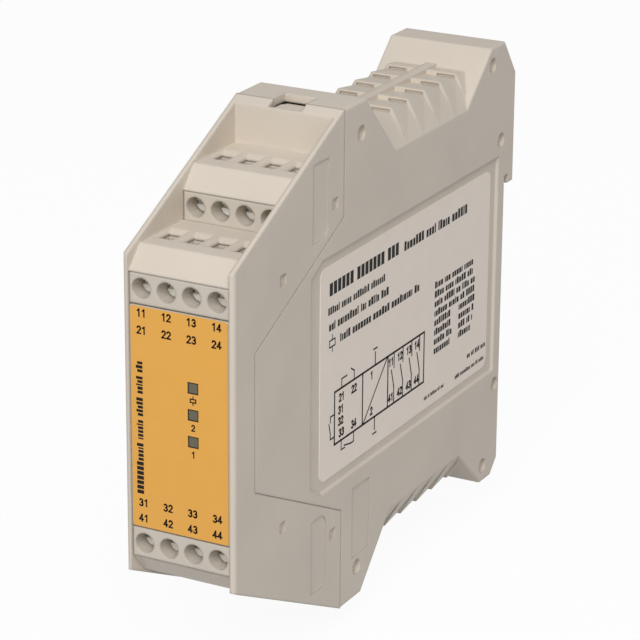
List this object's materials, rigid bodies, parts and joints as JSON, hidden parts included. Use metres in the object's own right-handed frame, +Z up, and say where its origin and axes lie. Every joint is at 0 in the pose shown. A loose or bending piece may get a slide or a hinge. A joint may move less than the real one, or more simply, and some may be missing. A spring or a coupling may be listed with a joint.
{
  "type": "safety relay",
  "caption": "Narrow rail-mounted safety relay in a two-shell moulded case with stepped screw terminals above and below, louvred roofs, status windows and a sprung rail latch.",
  "frame": {"origin": "middle of the face that seats on the 35 mm rail, at mid-height of the case", "axes": "+Z up along the height, +Y to the back towards the rail, +X to the right across the width seen from the front"},
  "size_m": [0.0226, 0.1145, 0.099],
  "materials": {
    "housing": "fine moulded texture",
    "terminal_plastic": "moulded",
    "front_label": "satin printed film",
    "rating_label": "satin printed film",
    "window": "smoky clear",
    "screw_steel": "bright zinc",
    "sleeve_steel": "nickel",
    "contact_metal": "tinned",
    "board": "solder resist",
    "relay_case": "moulded",
    "component_black": "moulded",
    "component_blue": "lacquered",
    "led_lens": "tinted clear",
    "latch_plastic": "moulded",
    "spring_steel": "drawn"
  },
  "bodies": {
    "case": {"rear_housing": "housing", "front_housing": "housing", "front_cover": "terminal_plastic", "front_label": "front_label", "window_strip": "window", "rating_label": "rating_label", "main_board": "board", "relay_upper": "relay_case", "relay_lower": "relay_case", "filter_capacitor": "component_black", "bridge_rectifier": "component_black", "input_fuse": "component_black", "varistor": "component_blue", "logic_chips": "component_black", "status_leds": "led_lens", "latch_spring": "spring_steel", "terminal_block_top_front": "terminal_plastic", "terminal_block_top_rear": "terminal_plastic", "terminal_block_bottom_rear": "terminal_plastic", "terminal_block_bottom_front": "terminal_plastic", "contact_bars_top_front": "contact_metal", "contact_bars_top_rear": "contact_metal", "contact_bars_bottom_rear": "contact_metal", "contact_bars_bottom_front": "contact_metal"},
    "screw_01": {"terminal_screw_01": "screw_steel"},
    "sleeve_01": {"clamp_sleeve_01": "sleeve_steel"},
    "screw_02": {"terminal_screw_02": "screw_steel"},
    "sleeve_02": {"clamp_sleeve_02": "sleeve_steel"},
    "screw_03": {"terminal_screw_03": "screw_steel"},
    "sleeve_03": {"clamp_sleeve_03": "sleeve_steel"},
    "screw_04": {"terminal_screw_04": "screw_steel"},
    "sleeve_04": {"clamp_sleeve_04": "sleeve_steel"},
    "screw_05": {"terminal_screw_05": "screw_steel"},
    "sleeve_05": {"clamp_sleeve_05": "sleeve_steel"},
    "screw_06": {"terminal_screw_06": "screw_steel"},
    "sleeve_06": {"clamp_sleeve_06": "sleeve_steel"},
    "screw_07": {"terminal_screw_07": "screw_steel"},
    "sleeve_07": {"clamp_sleeve_07": "sleeve_steel"},
    "screw_08": {"terminal_screw_08": "screw_steel"},
    "sleeve_08": {"clamp_sleeve_08": "sleeve_steel"},
    "screw_09": {"terminal_screw_09": "screw_steel"},
    "sleeve_09": {"clamp_sleeve_09": "sleeve_steel"},
    "screw_10": {"terminal_screw_10": "screw_steel"},
    "sleeve_10": {"clamp_sleeve_10": "sleeve_steel"},
    "screw_11": {"terminal_screw_11": "screw_steel"},
    "sleeve_11": {"clamp_sleeve_11": "sleeve_steel"},
    "screw_12": {"terminal_screw_12": "screw_steel"},
    "sleeve_12": {"clamp_sleeve_12": "sleeve_steel"},
    "screw_13": {"terminal_screw_13": "screw_steel"},
    "sleeve_13": {"clamp_sleeve_13": "sleeve_steel"},
    "screw_14": {"terminal_screw_14": "screw_steel"},
    "sleeve_14": {"clamp_sleeve_14": "sleeve_steel"},
    "screw_15": {"terminal_screw_15": "screw_steel"},
    "sleeve_15": {"clamp_sleeve_15": "sleeve_steel"},
    "screw_16": {"terminal_screw_16": "screw_steel"},
    "sleeve_16": {"clamp_sleeve_16": "sleeve_steel"},
    "latch": {"rail_latch": "latch_plastic"}
  },
  "joints": [
    {"name": "terminal_screw_01_turn", "type": "hinge", "parent": "case", "child": "screw_01", "pos_m": [-0.00762, -0.1065, 0.0243], "axis": [0, 1, 0], "range_deg": [0, 1800]},
    {"name": "clamp_sleeve_01_slide", "type": "slide", "parent": "case", "child": "sleeve_01", "axis": [0, -1, 0], "range_m": [0, 0.0025]},
    {"name": "terminal_screw_02_turn", "type": "hinge", "parent": "case", "child": "screw_02", "pos_m": [-0.00254, -0.1065, 0.0243], "axis": [0, 1, 0], "range_deg": [0, 1800]},
    {"name": "clamp_sleeve_02_slide", "type": "slide", "parent": "case", "child": "sleeve_02", "axis": [0, -1, 0], "range_m": [0, 0.0025]},
    {"name": "terminal_screw_03_turn", "type": "hinge", "parent": "case", "child": "screw_03", "pos_m": [0.00254, -0.1065, 0.0243], "axis": [0, 1, 0], "range_deg": [0, 1800]},
    {"name": "clamp_sleeve_03_slide", "type": "slide", "parent": "case", "child": "sleeve_03", "axis": [0, -1, 0], "range_m": [0, 0.0025]},
    {"name": "terminal_screw_04_turn", "type": "hinge", "parent": "case", "child": "screw_04", "pos_m": [0.00762, -0.1065, 0.0243], "axis": [0, 1, 0], "range_deg": [0, 1800]},
    {"name": "clamp_sleeve_04_slide", "type": "slide", "parent": "case", "child": "sleeve_04", "axis": [0, -1, 0], "range_m": [0, 0.0025]},
    {"name": "terminal_screw_05_turn", "type": "hinge", "parent": "case", "child": "screw_05", "pos_m": [-0.00762, -0.0877, 0.0339], "axis": [0, 1, 0], "range_deg": [0, 1800]},
    {"name": "clamp_sleeve_05_slide", "type": "slide", "parent": "case", "child": "sleeve_05", "axis": [0, -1, 0], "range_m": [0, 0.0025]},
    {"name": "terminal_screw_06_turn", "type": "hinge", "parent": "case", "child": "screw_06", "pos_m": [-0.00254, -0.0877, 0.0339], "axis": [0, 1, 0], "range_deg": [0, 1800]},
    {"name": "clamp_sleeve_06_slide", "type": "slide", "parent": "case", "child": "sleeve_06", "axis": [0, -1, 0], "range_m": [0, 0.0025]},
    {"name": "terminal_screw_07_turn", "type": "hinge", "parent": "case", "child": "screw_07", "pos_m": [0.00254, -0.0877, 0.0339], "axis": [0, 1, 0], "range_deg": [0, 1800]},
    {"name": "clamp_sleeve_07_slide", "type": "slide", "parent": "case", "child": "sleeve_07", "axis": [0, -1, 0], "range_m": [0, 0.0025]},
    {"name": "terminal_screw_08_turn", "type": "hinge", "parent": "case", "child": "screw_08", "pos_m": [0.00762, -0.0877, 0.0339], "axis": [0, 1, 0], "range_deg": [0, 1800]},
    {"name": "clamp_sleeve_08_slide", "type": "slide", "parent": "case", "child": "sleeve_08", "axis": [0, -1, 0], "range_m": [0, 0.0025]},
    {"name": "terminal_screw_09_turn", "type": "hinge", "parent": "case", "child": "screw_09", "pos_m": [-0.00762, -0.0877, -0.0339], "axis": [0, 1, 0], "range_deg": [0, 1800]},
    {"name": "clamp_sleeve_09_slide", "type": "slide", "parent": "case", "child": "sleeve_09", "axis": [0, -1, 0], "range_m": [0, 0.0025]},
    {"name": "terminal_screw_10_turn", "type": "hinge", "parent": "case", "child": "screw_10", "pos_m": [-0.00254, -0.0877, -0.0339], "axis": [0, 1, 0], "range_deg": [0, 1800]},
    {"name": "clamp_sleeve_10_slide", "type": "slide", "parent": "case", "child": "sleeve_10", "axis": [0, -1, 0], "range_m": [0, 0.0025]},
    {"name": "terminal_screw_11_turn", "type": "hinge", "parent": "case", "child": "screw_11", "pos_m": [0.00254, -0.0877, -0.0339], "axis": [0, 1, 0], "range_deg": [0, 1800]},
    {"name": "clamp_sleeve_11_slide", "type": "slide", "parent": "case", "child": "sleeve_11", "axis": [0, -1, 0], "range_m": [0, 0.0025]},
    {"name": "terminal_screw_12_turn", "type": "hinge", "parent": "case", "child": "screw_12", "pos_m": [0.00762, -0.0877, -0.0339], "axis": [0, 1, 0], "range_deg": [0, 1800]},
    {"name": "clamp_sleeve_12_slide", "type": "slide", "parent": "case", "child": "sleeve_12", "axis": [0, -1, 0], "range_m": [0, 0.0025]},
    {"name": "terminal_screw_13_turn", "type": "hinge", "parent": "case", "child": "screw_13", "pos_m": [-0.00762, -0.1065, -0.0243], "axis": [0, 1, 0], "range_deg": [0, 1800]},
    {"name": "clamp_sleeve_13_slide", "type": "slide", "parent": "case", "child": "sleeve_13", "axis": [0, -1, 0], "range_m": [0, 0.0025]},
    {"name": "terminal_screw_14_turn", "type": "hinge", "parent": "case", "child": "screw_14", "pos_m": [-0.00254, -0.1065, -0.0243], "axis": [0, 1, 0], "range_deg": [0, 1800]},
    {"name": "clamp_sleeve_14_slide", "type": "slide", "parent": "case", "child": "sleeve_14", "axis": [0, -1, 0], "range_m": [0, 0.0025]},
    {"name": "terminal_screw_15_turn", "type": "hinge", "parent": "case", "child": "screw_15", "pos_m": [0.00254, -0.1065, -0.0243], "axis": [0, 1, 0], "range_deg": [0, 1800]},
    {"name": "clamp_sleeve_15_slide", "type": "slide", "parent": "case", "child": "sleeve_15", "axis": [0, -1, 0], "range_m": [0, 0.0025]},
    {"name": "terminal_screw_16_turn", "type": "hinge", "parent": "case", "child": "screw_16", "pos_m": [0.00762, -0.1065, -0.0243], "axis": [0, 1, 0], "range_deg": [0, 1800]},
    {"name": "clamp_sleeve_16_slide", "type": "slide", "parent": "case", "child": "sleeve_16", "axis": [0, -1, 0], "range_m": [0, 0.0025]},
    {"name": "rail_latch_slide", "type": "slide", "parent": "case", "child": "latch", "axis": [0, 0, -1], "range_m": [0, 0.004], "stiffness_N_per_m": 600, "springref_m": -0.003, "deforming": ["latch_spring"]}
  ],
  "couplings": [
    {"joint": "terminal_screw_01_turn", "follows": "clamp_sleeve_01_slide", "rad_per_m": 12566},
    {"joint": "terminal_screw_02_turn", "follows": "clamp_sleeve_02_slide", "rad_per_m": 12566},
    {"joint": "terminal_screw_03_turn", "follows": "clamp_sleeve_03_slide", "rad_per_m": 12566},
    {"joint": "terminal_screw_04_turn", "follows": "clamp_sleeve_04_slide", "rad_per_m": 12566},
    {"joint": "terminal_screw_05_turn", "follows": "clamp_sleeve_05_slide", "rad_per_m": 12566},
    {"joint": "terminal_screw_06_turn", "follows": "clamp_sleeve_06_slide", "rad_per_m": 12566},
    {"joint": "terminal_screw_07_turn", "follows": "clamp_sleeve_07_slide", "rad_per_m": 12566},
    {"joint": "terminal_screw_08_turn", "follows": "clamp_sleeve_08_slide", "rad_per_m": 12566},
    {"joint": "terminal_screw_09_turn", "follows": "clamp_sleeve_09_slide", "rad_per_m": 12566},
    {"joint": "terminal_screw_10_turn", "follows": "clamp_sleeve_10_slide", "rad_per_m": 12566},
    {"joint": "terminal_screw_11_turn", "follows": "clamp_sleeve_11_slide", "rad_per_m": 12566},
    {"joint": "terminal_screw_12_turn", "follows": "clamp_sleeve_12_slide", "rad_per_m": 12566},
    {"joint": "terminal_screw_13_turn", "follows": "clamp_sleeve_13_slide", "rad_per_m": 12566},
    {"joint": "terminal_screw_14_turn", "follows": "clamp_sleeve_14_slide", "rad_per_m": 12566},
    {"joint": "terminal_screw_15_turn", "follows": "clamp_sleeve_15_slide", "rad_per_m": 12566},
    {"joint": "terminal_screw_16_turn", "follows": "clamp_sleeve_16_slide", "rad_per_m": 12566}
  ]
}
